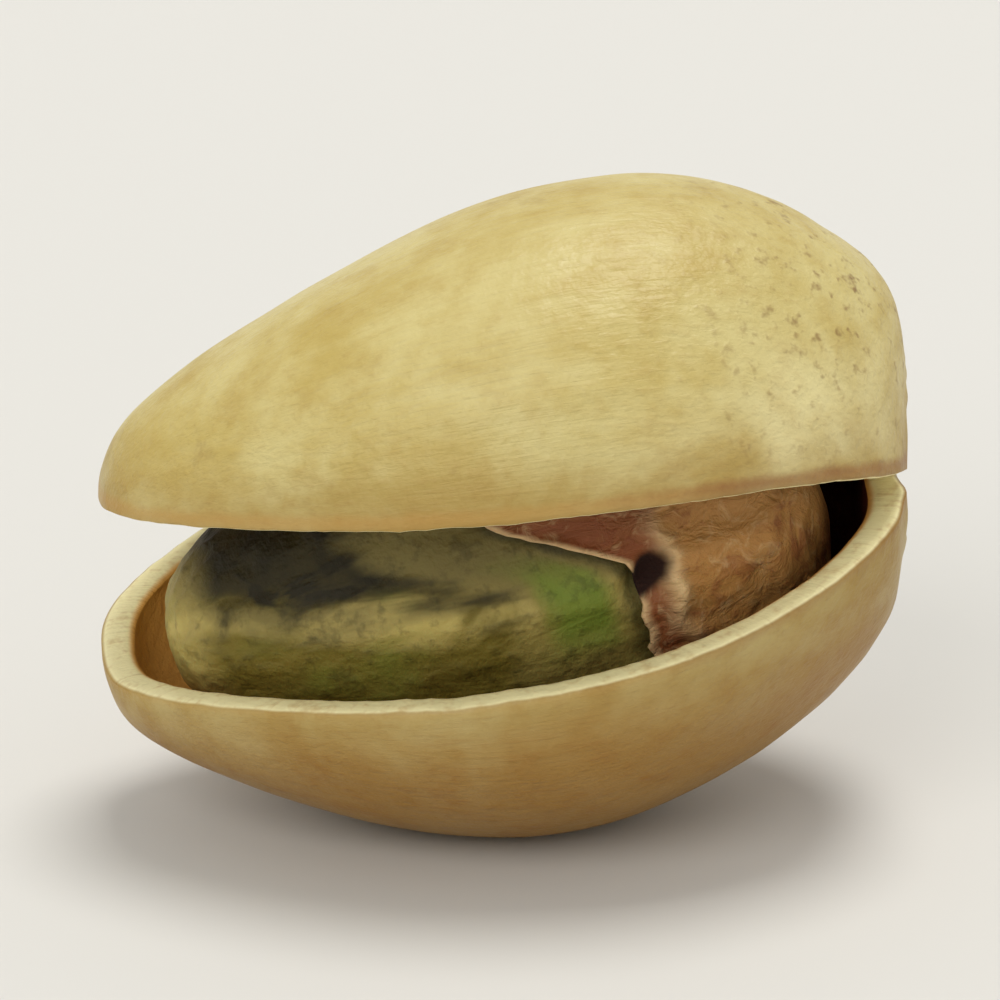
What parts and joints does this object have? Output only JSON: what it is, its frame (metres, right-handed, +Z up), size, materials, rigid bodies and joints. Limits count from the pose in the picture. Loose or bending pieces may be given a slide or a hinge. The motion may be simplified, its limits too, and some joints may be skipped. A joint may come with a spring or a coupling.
{
  "type": "pistachio in shell",
  "caption": "Pistachio lying on its side in a pale woody shell that has split open along its seam, with the green kernel and a rag of brown skin in the open mouth.",
  "frame": {"origin": "centre of the nut's footprint box, on the surface it rests on", "axes": "+X from the pointed apex toward the base where the nut hung, +Z up, and the open mouth faces -Y"},
  "size_m": [0.019, 0.0128, 0.0157],
  "materials": {
    "shell": "smooth pale tan woody nutshell, faintly striated and satin",
    "kernel": "olive to green nut flesh, waxy and slightly wrinkled",
    "kernel_skin": "thin papery brown seed coat, torn and crinkled"
  },
  "bodies": {
    "root": {"shell": "shell", "kernel": "kernel", "kernel_skin": "kernel_skin"}
  },
  "joints": []
}
